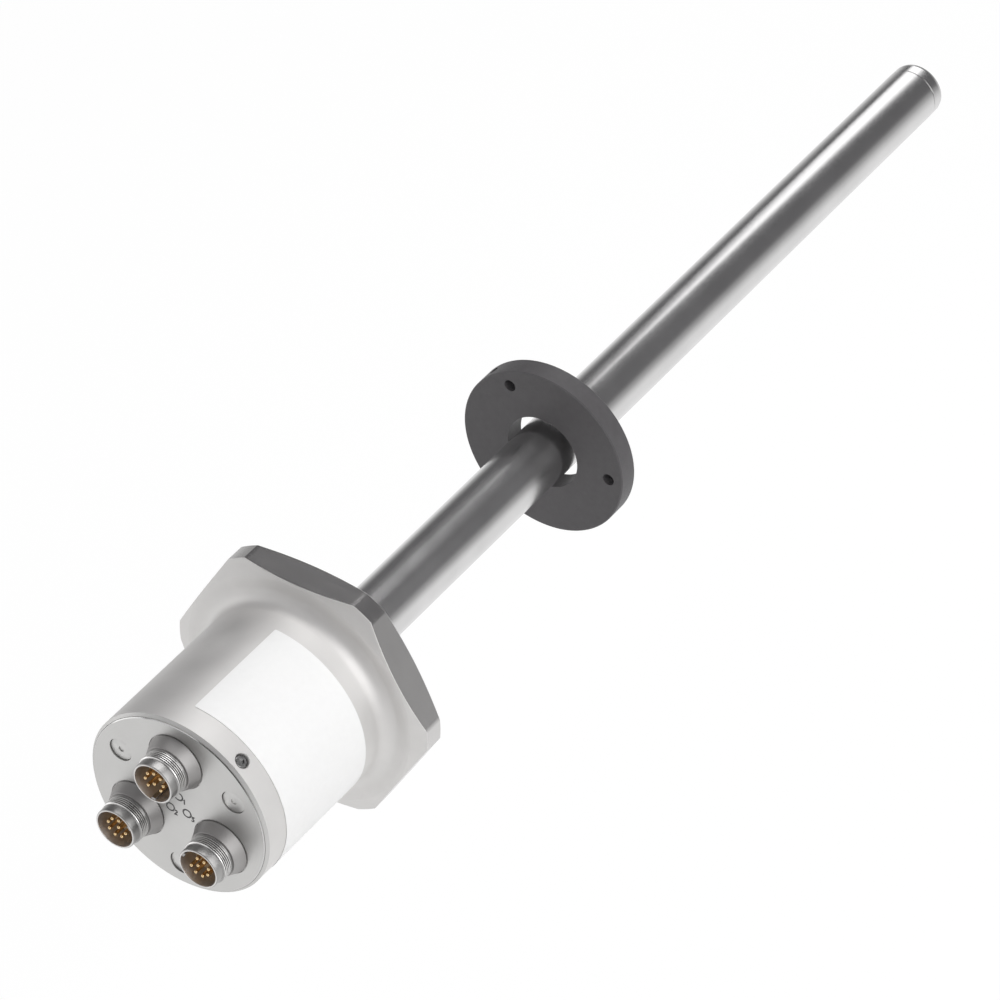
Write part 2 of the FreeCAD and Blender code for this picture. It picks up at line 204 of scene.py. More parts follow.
class Shader:
    """A principled material whose nodes read the piece's own coordinates, in metres."""

    def __init__(self, name, colour, metallic, roughness):
        self.material = bpy.data.materials.new(name)
        self.material.use_nodes = True
        self.tree = self.material.node_tree
        self.bsdf = self.tree.nodes["Principled BSDF"]
        self.coords = self.tree.nodes.new("ShaderNodeTexCoord").outputs["Object"]
        self.colour = colour
        self.roughness = roughness
        self.set(self.bsdf, {"Base Color": (*colour, 1), "Metallic": metallic, "Roughness": roughness})

    def set(self, node, values):
        for key, value in values.items():
            node.inputs[key].default_value = value

    def link(self, source, target):
        self.tree.links.new(source, target)

    def math(self, operation, a, b):
        node = self.tree.nodes.new("ShaderNodeMath")
        node.operation = operation
        for socket, value in zip(node.inputs, (a, b)):
            if isinstance(value, (int, float)):
                socket.default_value = value
            else:
                self.link(value, socket)
        return node.outputs["Value"]

    def stretched(self, scale):
        """The piece's coordinates, multiplied along each axis."""
        node = self.tree.nodes.new("ShaderNodeMapping")
        node.inputs["Scale"].default_value = scale
        self.link(self.coords, node.inputs["Vector"])
        return node.outputs["Vector"]

    def lathe_coordinate(self):
        """Distance along a turned surface: the place along X plus the distance from the axis."""
        split = self.tree.nodes.new("ShaderNodeSeparateXYZ")
        self.link(self.coords, split.inputs["Vector"])
        y, z = split.outputs["Y"], split.outputs["Z"]
        squares = self.math("ADD", self.math("MULTIPLY", y, y), self.math("MULTIPLY", z, z))
        return self.math("ADD", split.outputs["X"], self.math("POWER", squares, 0.5))

    def noise(self, scale, detail=3.0, vector=None, w=None):
        node = self.tree.nodes.new("ShaderNodeTexNoise")
        if w is not None:
            node.noise_dimensions = "1D"
            self.link(w, node.inputs["W"])
        else:
            self.link(vector or self.coords, node.inputs["Vector"])
        self.set(node, {"Scale": scale, "Detail": detail})
        return node.outputs["Fac"]

    def spread(self, value, low, high):
        """A noise value spread over a range."""
        node = self.tree.nodes.new("ShaderNodeMapRange")
        self.link(value, node.inputs["Value"])
        self.set(node, {"From Min": NOISE_LOW, "From Max": NOISE_HIGH, "To Min": low, "To Max": high})
        return node.outputs["Result"]

    def vary_colour(self, value, amount):
        """The colour a little darker and lighter, following a noise value."""
        mix = self.tree.nodes.new("ShaderNodeMix")
        mix.data_type = "RGBA"
        dark = [c * (1 - amount) for c in self.colour]
        light = [min(1.0, c * (1 + amount)) for c in self.colour]
        for socket, shade in zip(mix.inputs[MIX_A:MIX_B + 1], (dark, light)):
            socket.default_value = (*shade, 1)
        self.link(self.spread(value, 0, 1), mix.inputs["Factor"])
        self.link(mix.outputs[MIX_RESULT], self.bsdf.inputs["Base Color"])

    def vary_roughness(self, value, amount):
        """The roughness a little lower and higher, following a noise value."""
        low, high = self.roughness - amount, self.roughness + amount
        self.link(self.spread(value, low, high), self.bsdf.inputs["Roughness"])

    def bump(self, value, height, strength=1.0):
        """Relief of that height, in millimetres. It comes last, and gives the finished material."""
        node = self.tree.nodes.new("ShaderNodeBump")
        self.set(node, {"Strength": strength, "Distance": height * MM})
        self.link(value, node.inputs["Height"])
        self.link(node.outputs["Normal"], self.bsdf.inputs["Normal"])
        return self.material


def turned_metal(name, colour, roughness, height=0.004, pitch=0.25, change=0.05):
    """Metal with fine lathe rings, at that pitch in millimetres, and faint handling marks."""
    s = Shader(name, colour, 1.0, roughness)
    rings = s.noise(1 / (pitch * MM), 4.0, w=s.lathe_coordinate())
    clouds = s.noise(60.0, 4.0)
    s.vary_colour(clouds, 0.04)
    halves = [s.math("MULTIPLY", value, 0.5) for value in (rings, clouds)]
    s.vary_roughness(s.math("ADD", *halves), change)
    return s.bump(rings, height)


def milled_metal(name, colour, roughness):
    """Metal with straight cutter marks across the flats."""
    s = Shader(name, colour, 1.0, roughness)
    marks = s.noise(1.0, 3.0, s.stretched((2500.0, 60.0, 60.0)))
    s.vary_colour(s.noise(80.0), 0.03)
    s.vary_roughness(marks, 0.03)
    return s.bump(marks, 0.0006)


def plated_metal(name, colour, roughness):
    """Smooth plating with slight unevenness."""
    s = Shader(name, colour, 1.0, roughness)
    s.vary_colour(s.noise(400.0), 0.05)
    s.vary_roughness(s.noise(900.0, 5.0), 0.05)
    return s.bump(s.noise(1500.0), 0.003)


def plastic(name, colour, roughness, grain=3000.0, height=0.01, amount=0.08):
    """Moulded or pressed material with a fine grain."""
    s = Shader(name, colour, 0.0, roughness)
    grains = s.noise(grain, 4.0)
    s.vary_colour(s.noise(grain / 6, 4.0), amount)
    s.vary_roughness(grains, 0.06)
    return s.bump(grains, height, 0.5)


body_steel = turned_metal("housing_turned_steel", (0.75, 0.74, 0.73), 0.6)
flat_steel = milled_metal("housing_milled_steel", (0.60, 0.59, 0.585), 0.2)
bevel_steel = turned_metal("housing_bevel_steel", (0.63, 0.625, 0.615), 0.5)
edge_steel = turned_metal("cap_edge_steel", (0.6, 0.595, 0.59), 0.16, 0.0003)
cap_steel = turned_metal("cap_turned_steel", (0.63, 0.625, 0.615), 0.42, pitch=0.4)
mark_fill = plastic("engraved_mark", (0.16, 0.16, 0.16), 0.6)
screw_steel = plated_metal("screw_steel", (0.63, 0.625, 0.615), 0.38)
dark_screw = plated_metal("blackened_screw", (0.32, 0.32, 0.32), 0.25)
nickel = turned_metal("connector_nickel", (0.39, 0.385, 0.38), 0.38, 0.002, 0.15)
# The same nickel plating as outside, lighter and warmer: painted light inside the socket.
nickel_socket_painted_light = plated_metal("nickel_socket_painted_light", (0.62, 0.585, 0.565), 0.45)
# The same nickel plating as the shell, far lighter: a painted highlight along the thread crests.
nickel_crest_painted_highlight = plated_metal("nickel_crest_painted_highlight", (0.92, 0.91, 0.9), 0.38)
collar_nickel = turned_metal("collar_nickel", (0.42, 0.41, 0.405), 0.54, 0.003, 0.3)
# The same nickel plating, lighter: a painted highlight on the socket's lip.
nickel_rim_painted_highlight = plated_metal("nickel_rim_painted_highlight", (0.68, 0.67, 0.66), 0.3)
gold = plated_metal("contact_gold", (0.90, 0.66, 0.36), 0.15)
insert_plastic = plastic("connector_insert_plastic", (0.72, 0.57, 0.38), 0.45)
rubber = plastic("seal_rubber", (0.02, 0.02, 0.021), 0.6)
label_film = plastic("label_film", (0.95, 0.95, 0.945), 0.42, 2500.0, 0.004, 0.012)
rod_steel = turned_metal("rod_polished_steel", (0.66, 0.655, 0.655), 0.23, 0.00005, 0.3, 0.015)
magnet_body = plastic("magnet_compound", (0.088, 0.084, 0.088), 0.5, 2200.0, 0.006, 0.06)
brass = turned_metal("pillar_brass", (0.70, 0.52, 0.25), 0.3)
holder_plastic = plastic("holder_plastic", (0.03, 0.03, 0.032), 0.5)
copper = plated_metal("coil_copper", (0.75, 0.38, 0.22), 0.3)
wire_alloy = plated_metal("wire_alloy", (0.60, 0.58, 0.55), 0.25)
laminate = plastic("board_laminate", (0.03, 0.14, 0.06), 0.4, 900.0, 0.01, 0.2)


# Housing

BODY_R = 34.3
LOCK_ORIGIN = (FRONT + 5.35, 0, 0)
LOCK_WAY = (0.0, *polar(1.0, 130.0))
LOCK_HOLE_R = 2.5
# Distance of the lock screw's inner end from the axis
LOCK_BOTTOM = 28.2
HEX_HALF, HEX_CORNER_R, HEX_BEVEL_R = 44.0, 48.75, 43.5
CORNER_TURN = math.degrees(math.acos(HEX_HALF / HEX_CORNER_R))
# One pitch of a thread: part of the pitch and part of the depth
THREAD_FORM = ((0.0, 0.0), (0.125, 0.0), (0.28, 0.5), (0.4375, 1.0), (0.6875, 1.0), (0.84, 0.5))
FINE_FORM = ((0.0, 0.0), (0.38, 0.0), (0.54, 1.0), (0.72, 1.0))


def thread_rows(angles, start, end, pitch, crest, root, limit, form=THREAD_FORM):
    """Rows that follow a right-hand thread. The limit gives the largest radius at a place on X, for the
    bevels at both ends, and has to start and end below the root."""
    rows = []
    for turn in range(-1, int((end - start) / pitch) + 2):
        for part, depth in form:
            row = []
            for angle in angles:
                x = min(max(start + pitch * (turn + part + angle / 360.0), start), end)
                row.append((x, min(crest - depth * (crest - root), limit(x))))
            rows.append(row)
    return rows


def housing_angles():
    """Even steps round the housing, and the angles at which a flat meets a turned corner."""
    edges = [(30.0 + 60.0 * i + side * CORNER_TURN) % 360.0 for i in range(6) for side in (-1, 1)]
    least = 0.3
    even = [a for a in evenly(180) if min(abs(a - e) for e in edges) > least]
    return sorted(even + edges)


def flange_rows(angles):
    """Bevels and flats of the hexagon: the flats cut the cones of both bevels."""
    front_depth, back_depth, ease = 2.2, 1.65, 0.12
    front_slope = front_depth / (HEX_CORNER_R - HEX_BEVEL_R)
    back_slope = back_depth / (HEX_CORNER_R - HEX_BEVEL_R)
    rows = [[], [], [], []]
    for angle in angles:
        off = (angle + 30.0) % 60.0 - 30.0
        to_flat = 30.0 - abs(off)
        r = min(HEX_HALF / math.cos(math.radians(to_flat)), HEX_CORNER_R)
        x_front = FLANGE_FRONT + (r - HEX_BEVEL_R) * front_slope
        x_back = -(r - HEX_BEVEL_R) * back_slope
        rows[0].append((x_front - ease * front_slope, r - ease))
        rows[1].append((x_front + ease, r))
        rows[2].append((x_back - ease, r))
        rows[3].append((x_back + ease * back_slope, r - ease))
    return rows


def build_housing():
    """Round body, hexagonal flange and threaded stud in one piece, with its bores."""
    angles = housing_angles()
    turned, flat, bevel = 0, 1, 2
    mouth, root = 33.3, 5.3
    body = (FRONT + 1.29, -74.6, -72.0, -69.4, -66.0, -56.0, -46.0, -36.0, -26.0)
    parts = [
        (turned, [(CAP_SEAT, mouth), (FRONT + 0.4, mouth)]),
        (bevel, [(FRONT + 0.35, mouth + 0.06)]),
        (turned, [(x, BODY_R) for x in body]),
        (turned, arc((FLANGE_FRONT - root, BODY_R + root), root, 270, 360, 16)),
        (turned, [(FLANGE_FRONT, 41.5), (FLANGE_FRONT, 43.4), (FLANGE_FRONT + 0.04, 43.55)]),
    ]
    rows, zones = [], []
    for zone, points in parts:
        rows += points
        zones += [zone] * len(points)
    rows += flange_rows(angles)
    zones += [turned, flat, turned, turned]
    back = [(-0.04, 43.55), (0.0, 43.4), (0.0, 30.0), (0.0, 17.15), (-0.15, 17.0), (-0.3, 17.0)]
    back += [(-0.3, 12.9), (-0.2, 12.75), (0.0, 12.7), (4.0, 12.7)]
    rows += back
    zones += [turned] * len(back)
    start, pitch, crest_r, root_r = 4.0, 1.5, 15.0, 14.1

    def ends(x):
        return min(14.05 + (x - start), 13.8 + (STUD_END - x))

    thread = thread_rows(angles, start, STUD_END, pitch, crest_r, root_r, ends)
    rows += thread
    zones += [turned] * len(thread)
    tube_bore, wire_bore, chamber, plug_bore = 10.55, 8.0, 29.5, 31.1
    inside = [
        (STUD_END, tube_bore + 0.25), (STUD_END - 0.25, tube_bore), (TUBE_SEAT, tube_bore),
        (TUBE_SEAT, wire_bore), (CHAMBER_FLOOR, wire_bore), (CHAMBER_FLOOR, chamber),
        (CAP_BACK, chamber), (CAP_BACK, plug_bore), (CAP_SEAT, plug_bore),
    ]
    rows += inside
    zones += [turned] * len(inside)
    bm = bmesh.new()
    add_revolved(bm, rows, angles, zones=zones)
    obj = to_object(bm, "housing_machined", [body_steel, flat_steel, bevel_steel])
    holes = bmesh.new()
    add_bar(holes, LOCK_ORIGIN, LOCK_WAY, [(26.0, LOCK_HOLE_R), (34.0, LOCK_HOLE_R), (35.0, 3.3)])
    pillar_hole, depth = 2.05, 6.6
    for angle in SCREW_ANGLES:
        origin = (CHAMBER_FLOOR, *polar(SCREW_RADIUS, angle))
        add_bar(holes, origin, ALONG, [(-OVER, pillar_hole), (depth, pillar_hole)])
    cut(obj, holes)
    place(obj, "sensor", "housing_steel", "housing")


build_housing()

# End cap

MARK_DEPTH = 0.12
MARK_INNER_R, MARK_OUTER_R = 1.2, 1.8
MARK_PLACES = ((-0.45, 4.0), (3.0, -2.1), (-3.45, -1.7))
DIGIT_SCALE, DIGIT_STROKE = 1.2, 0.45
DIGIT_SHIFT = (-2.1, -1.45)
# The digits 1 to 3 as pen strokes
DIGITS = (
    ((-0.25, 0.5), (0.05, 0.75), (0.05, -0.75)),
    ((-0.4, 0.45), (-0.2, 0.75), (0.2, 0.75), (0.4, 0.4), (-0.4, -0.75), (0.45, -0.75)),
    ((-0.4, 0.75), (0.4, 0.75), (-0.05, 0.15), (0.35, -0.15), (0.3, -0.6), (-0.1, -0.78), (-0.45, -0.6)),
)


def stroke(points, width):
    """Outline of a pen stroke along some points, with mitred corners."""
    sides = []
    for i, point in enumerate(points):
        before = Vector(point) - Vector(points[i - 1]) if i else None
        after = Vector(points[i + 1]) - Vector(point) if i + 1 < len(points) else None
        ways = [way.normalized() for way in (before, after) if way]
        normals = [Vector((-way.y, way.x)) for way in ways]
        middle = sum(normals, Vector((0, 0))).normalized()
        reach = width / 2 / middle.dot(normals[0])
        sides.append((Vector(point) + middle * reach, Vector(point) - middle * reach))
    return [side[0] for side in sides] + [side[1] for side in reversed(sides)]


def add_marks(bm):
    """A ring and the connector's number for each connector, read from the front."""
    for (y, z), digit in zip(MARK_PLACES, DIGITS):
        top, bottom = FRONT - OVER, FRONT + MARK_DEPTH
        rows = [(top, MARK_INNER_R), (top, MARK_OUTER_R), (bottom, MARK_OUTER_R), (bottom, MARK_INNER_R)]
        add_revolved(bm, rows, evenly(48), (y, z))
        y0, z0 = y + DIGIT_SHIFT[0], z + DIGIT_SHIFT[1]
        line = stroke(digit, DIGIT_STROKE)
        add_prism(bm, [(y0 - DIGIT_SCALE * u, z0 + DIGIT_SCALE * v) for u, v in line], top, bottom)


def build_cap():
    """Cap with its seal groove, the holes for connectors and screws, and the engraved marks."""
    bm = bmesh.new()
    turned, mark, edge = 0, 1, 2
    rim, bevel, plug, groove = 33.22, 0.28, 31.0, 29.0
    groove_start, groove_end = FRONT + 8.3, FRONT + 10.5
    rows = [
        (FRONT, 0.0), (FRONT, 16.0), (FRONT, rim - bevel), (FRONT + bevel, rim),
        (CAP_SEAT, rim), (CAP_SEAT, plug), (groove_start, plug), (groove_start, groove),
        (groove_end, groove), (groove_end, plug), (CAP_BACK, plug), (CAP_BACK, 0.0),
    ]
    zones = [turned, turned, edge] + [turned] * (len(rows) - 4)
    add_revolved(bm, rows, evenly(180), closed=False, zones=zones)
    obj = to_object(bm, "end_cap_machined", [cap_steel, mark_fill, edge_steel])
    holes = bmesh.new()
    top, hole = FRONT - OVER, 7.55
    relief_in, relief_out, relief_floor = 9.85, 10.38, FRONT + 0.7
    for angle in CONNECTOR_ANGLES:
        centre = polar(CONNECTOR_RADIUS, angle)
        add_bar(holes, (FRONT, *centre), ALONG, [(-OVER, hole), (13.0, hole)], 72)
        relief = [(top, relief_in), (top, relief_out)]
        relief += [(relief_floor, relief_out), (relief_floor, relief_in)]
        add_revolved(holes, relief, evenly(96), centre)
    head, shank, back = 4.25, 2.25, CAP_BACK + OVER
    for angle in SCREW_ANGLES:
        rows = [(top, 0.0), (top, head), (SCREW_SEAT, head)]
        rows += [(SCREW_SEAT, shank), (back, shank), (back, 0.0)]
        add_revolved(holes, rows, evenly(72), polar(SCREW_RADIUS, angle), closed=False)
    cut(obj, holes)
    side = bmesh.new()
    add_bar(side, LOCK_ORIGIN, LOCK_WAY, [(LOCK_BOTTOM, LOCK_HOLE_R), (40.0, LOCK_HOLE_R)])
    cut(obj, side)
    marks = bmesh.new()
    add_marks(marks)
    cut(obj, marks, mark)
    place(obj, "sensor", "cap_steel", "end_cap")


build_cap()


def build_screws():
    """Sunk cap screws and the set screw in the side, with hexagon sockets."""
    head, shank, end, face = 4.12, 2.0, CAP_BACK + 8.0, FRONT + 0.45
    rows = [(face, 0.0), (face, head - 0.2), (face + 0.06, head - 0.06), (face + 0.2, head)]
    rows += [(SCREW_SEAT, head), (SCREW_SEAT, shank)]
    rows += [(end - 0.3, shank), (end, shank - 0.3), (end, 0.0)]
    key, depth = 1.15, 0.4
    bm, keys = bmesh.new(), bmesh.new()
    for angle in SCREW_ANGLES:
        centre = polar(SCREW_RADIUS, angle)
        add_revolved(bm, rows, evenly(72), centre, closed=False)
        add_bar(keys, (face, *centre), ALONG, [(-OVER, key), (depth, key)], HEXAGON)
    obj = to_object(bm, "cap_screws_turned", [screw_steel])
    cut(obj, keys)
    place(obj, "sensor", "screw_steel", "cap_screws")
    bm, keys = bmesh.new(), bmesh.new()
    radius, key = 2.4, 1.2
    lock = [(LOCK_BOTTOM, radius), (33.1, radius), (33.6, 1.95), (33.7, 1.8)]
    add_bar(bm, LOCK_ORIGIN, LOCK_WAY, lock)
    add_bar(keys, LOCK_ORIGIN, LOCK_WAY, [(33.0, key), (35.0, key)], HEXAGON)
    obj = to_object(bm, "lock_screw_turned", [dark_screw])
    cut(obj, keys)
    place(obj, "sensor", "dark_screw", "lock_screw")


build_screws()

# Connectors

RIM = -88.2
THREAD_TOP = -85.1
COLLAR_TOP = -80.5
SOCKET_FLOOR = -81.7
INSERT_SHOULDER = -78.1
SOCKET_R = 6.68
PIN_SLOTS = 8
PIN_RING = 3.45
MIDDLE_PIN = 0.8


def add_key(bm, centre, angle):
    """Key that stands into the socket, on the side that faces the cap's middle."""
    inward = Vector((0, *polar(1.0, angle + 180)))
    across = Vector((0, *polar(1.0, angle + 270)))
    middle = Vector((0, *centre))
    ease, half, root, top, start = 0.15, 0.8, SOCKET_R + 0.1, SOCKET_R - 0.8, RIM + 0.15
    section = [(-half, root), (-half, top + ease), (-half + ease, top)]
    section += [(-w, r) for w, r in reversed(section)]
    rings = []
    for x, inset in ((start, ease), (start + ease, 0.0), (SOCKET_FLOOR, 0.0)):
        points = [middle + inward * max(r, top + inset) + across * w for w, r in section]
        rings.append([bm.verts.new((p + Vector((x, 0, 0))) * MM) for p in points])
    for near, far in zip(rings, rings[1:]):
        for i in range(len(section)):
            k = (i + 1) % len(section)
            bm.faces.new((near[i], near[k], far[k], far[i]))
    bm.faces.new(rings[0][::-1])
    bm.faces.new(rings[-1])


def build_shell(number, angle):
    """Receptacle: socket, sleeve, coupling thread with a runout groove, conical collar and tail."""
    centre = polar(CONNECTOR_RADIUS, angle)
    angles = evenly(144)
    sleeve, socket, rim, collar, crest = range(5)
    sleeve_r, runout = 7.43, COLLAR_TOP - 0.45
    pitch, crest_r, root_r = 0.75, 7.92, 7.5
    rows = [(RIM + 0.25, SOCKET_R), (RIM + 0.05, SOCKET_R + 0.06), (RIM, SOCKET_R + 0.12)]
    rows += [(RIM, 7.05), (RIM + 0.05, 7.2), (RIM + 0.2, 7.37)]
    rows += [(RIM + 0.4, sleeve_r), (THREAD_TOP, sleeve_r)]

    def ends(x):
        return min(7.45 + 1.2 * (x - THREAD_TOP), 7.48 + 1.5 * (runout - x))

    thread = thread_rows(angles, THREAD_TOP, runout, pitch, crest_r, root_r, ends, FINE_FORM)
    turns = len(thread) // len(FINE_FORM)
    # The two rim zones take the lighter nickel: a painted highlight on the lip.
    zones = [socket, socket, rim, rim] + [sleeve] * 8
    # Crest faces take the lighter nickel: a painted highlight along the thread.
    zones += [crest, sleeve, sleeve, sleeve] * (turns - 1) + [sleeve]
    rows += thread
    rows += [(COLLAR_TOP - 0.06, 7.55), (COLLAR_TOP, 7.62)]
    rows += [(COLLAR_TOP, 8.28), (COLLAR_TOP + 0.12, 8.45)]
    rows += [(FRONT - 0.32, 10.1), (FRONT - 0.2, 10.05), (FRONT, 9.8)]
    seal_in, seal_out, seal_top, tail, bore = 7.8, 9.1, FRONT - 1.0, 7.5, 6.8
    rows += [(FRONT, seal_out), (seal_top, seal_out), (seal_top, seal_in), (FRONT, seal_in)]
    rows += [(FRONT, tail), (CAP_BACK, tail), (CAP_BACK, bore)]
    rows += [(INSERT_SHOULDER, bore), (INSERT_SHOULDER, SOCKET_R)]
    # The socket zones, at the lip's inner edge and along the inner wall, take the lighter nickel:
    # painted light inside the socket.
    zones += [collar] * (len(rows) - len(zones) - 1) + [socket]
    bm = bmesh.new()
    add_revolved(bm, rows, angles, centre, zones=zones)
    add_key(bm, centre, angle)
    materials = [nickel, nickel_socket_painted_light, nickel_rim_painted_highlight, collar_nickel, nickel_crest_painted_highlight]
    obj = to_object(bm, f"connector_shell_{number}_threaded", materials)
    place(obj, "sensor", "connector_nickel", f"connector_shell_{number}")


def pin_places(angle):
    """The (y, z) of each pin from the connector's axis: a ring with one slot free, and a middle pin."""
    step = 360 / PIN_SLOTS
    ring = [polar(PIN_RING, angle + 180 + step * i) for i in range(1, PIN_SLOTS)]
    return ring + [polar(MIDDLE_PIN, angle + 180)]


def build_insert(number, angle):
    """Insert with a lower rim and a shallow cone round each pin."""
    centre = polar(CONNECTOR_RADIUS, angle)
    face, step, front_r, back_r = SOCKET_FLOOR, SOCKET_FLOOR + 0.35, 6.63, 6.75
    rows = [
        (face, 0.0), (face, 5.0), (face, 5.45), (step, 5.8), (step, 6.45), (face + 0.5, front_r),
        (INSERT_SHOULDER, front_r), (INSERT_SHOULDER, back_r), (CAP_BACK, back_r), (CAP_BACK, 0.0),
    ]
    bm = bmesh.new()
    add_revolved(bm, rows, evenly(72), centre, closed=False)
    obj = to_object(bm, f"connector_insert_{number}_moulded", [insert_plastic])
    cones = bmesh.new()
    over, hole = 0.5, 0.65
    rows = [(face - over, 0.0), (face - over, 1.4), (step, 0.72), (step, hole)]
    rows += [(CAP_BACK + over, hole), (CAP_BACK + over, 0.0)]
    for y, z in pin_places(angle):
        add_revolved(cones, rows, evenly(24), (centre[0] + y, centre[1] + z), closed=False)
    cut(obj, cones)
    place(obj, "sensor", "insert_plastic", f"connector_insert_{number}")


def build_pins(number, angle):
    """Round-nosed contact pins."""
    centre = polar(CONNECTOR_RADIUS, angle)
    tip, nose, radius, end, bevel = RIM + 0.65, 0.55, 0.6, CAP_BACK + 3.5, 0.1
    dome = [math.radians(t) for t in steps(0, 90, 8)]
    rows = [(tip + nose * (1 - math.cos(t)), radius * math.sin(t)) for t in dome]
    rows += [(end - bevel, radius), (end, radius - bevel), (end, 0.0)]
    bm = bmesh.new()
    for y, z in pin_places(angle):
        add_revolved(bm, rows, evenly(24), (centre[0] + y, centre[1] + z), closed=False)
    obj = to_object(bm, f"connector_pins_{number}_domed", [gold])
    place(obj, "sensor", "contact_gold", f"connector_pins_{number}")


for number, angle in enumerate(CONNECTOR_ANGLES, 1):
    build_shell(number, angle)
    build_insert(number, angle)
    build_pins(number, angle)

# Label


def build_label():
    """Film with rounded corners, wrapped round the body."""
    x0, x1, start, sweep, corner = -65.9, -22.9, 91.0, 165.0, 0.5
    inner, outer = 34.35, 34.5
    length = math.radians(sweep) * inner
    ends = [corner * (1 - math.cos(math.radians(t))) for t in steps(0, 90, 8)]
    places = ends + steps(corner, length - corner, 160)[1:-1] + [length - e for e in reversed(ends)]
    bm = bmesh.new()
    rings = []
    for place_along in places:
        from_end = min(place_along, length - place_along, corner)
        inset = corner - math.sqrt(corner ** 2 - (corner - from_end) ** 2)
        turn = start + math.degrees(place_along / inner)
        ring = []
        for x, r in ((x0 + inset, inner), (x0 + inset, outer), (x1 - inset, outer), (x1 - inset, inner)):
            y, z = polar(r, turn)
            ring.append(bm.verts.new((x * MM, y * MM, z * MM)))
        rings.append(ring)
    for near, far in zip(rings, rings[1:]):
        for i in range(4):
            k = (i + 1) % 4
            bm.faces.new((near[i], near[k], far[k], far[i]))
    bm.faces.new(rings[0][::-1])
    bm.faces.new(rings[-1])
    place(to_object(bm, "label_blank", [label_film]), "sensor", "label_foil", "label")


build_label()

# Rod


def build_rod():
    """Tube and the plug that closes it, with a fine gap at the seam and a bevelled tip."""
    angles = evenly(192)
    radius, bore = 10.5, 7.5
    gap, gap_floor, bevel = TUBE_END - 0.36, 9.6, 0.1
    tube = [(TUBE_SEAT, bore), (TUBE_SEAT, radius), (TUBE_END - 0.5, radius), (TUBE_END - 0.46, radius)]
    tube += [(gap, radius - bevel), (gap, gap_floor), (TUBE_END, gap_floor), (TUBE_END, bore)]
    bm = bmesh.new()
    add_revolved(bm, tube, angles)
    place(to_object(bm, "rod_tube_polished", [rod_steel]), "sensor", "rod_steel", "rod_tube")
    start, spigot, head, shoulder = TUBE_END - 6.0, bore - 0.05, radius - 0.08, ROD_END - 1.5
    plug = [(start, 0.0), (start, spigot), (TUBE_END, spigot)]
    plug += [(TUBE_END, head - bevel), (TUBE_END + bevel, head), (shoulder, head)]
    plug += [(shoulder + bevel, head - bevel), (ROD_END - 0.3, radius - 0.4), (ROD_END, radius - 0.66)]
    plug += [(ROD_END, 0.0)]
    bm = bmesh.new()
    add_revolved(bm, plug, angles, closed=False)
    place(to_object(bm, "rod_end_polished", [rod_steel]), "sensor", "rod_steel", "rod_end_plug")


build_rod()

# Materials of the CAD nodes that stay, without the number at the end of a node's name

KEPT = {
    "position_magnet": magnet_body,
    "flange_seal": rubber,
    "cap_seal": rubber,
    "connector_seal": rubber,
    "board_pillars": brass,
    "board_spacers": brass,
    "coil_holder": holder_plastic,
    "spacer_discs": holder_plastic,
    "end_damper": rubber,
    "pickup_coil": copper,
    "waveguide": wire_alloy,
    "guide_tube": insert_plastic,
    "return_wire": copper,
    "circuit_board": laminate,
}
for name, obj in nodes.items():
    material = KEPT.get(name.rstrip("_123"))
    if material:
        obj.data.materials.clear()
        obj.data.materials.append(material)


# Floor, light and camera, in metres

FLOOR_SIZE, FLOOR_LEVEL = 6.0, -0.25
# Brightness of the floor's glow at some distances from the middle of its painted pool of light
PAINTED_POOL_MIDDLE = (0.1, 0.1, FLOOR_LEVEL)
PAINTED_POOL = ((0.7, 0.92), (1.2, 0.7), (2.4, 0.58), (5.0, 0.45))
# Rays that see the floor's glow: a white backdrop with a painted pool of light that fades further out
SEEN = ("Is Camera Ray", "Is Glossy Ray", "Is Transmission Ray")


def grey(value):
    """A grey colour, opaque."""
    return value, value, value, 1


def any_ray(tree, names):
    """One where any of these tests of the light path holds, and nought elsewhere."""
    path = tree.nodes.new("ShaderNodeLightPath")
    total = path.outputs[names[0]]
    for name in names[1:]:
        either = tree.nodes.new("ShaderNodeMath")
        either.operation = "MAXIMUM"
        tree.links.new(total, either.inputs[0])
        tree.links.new(path.outputs[name], either.inputs[1])
        total = either.outputs["Value"]
    return total


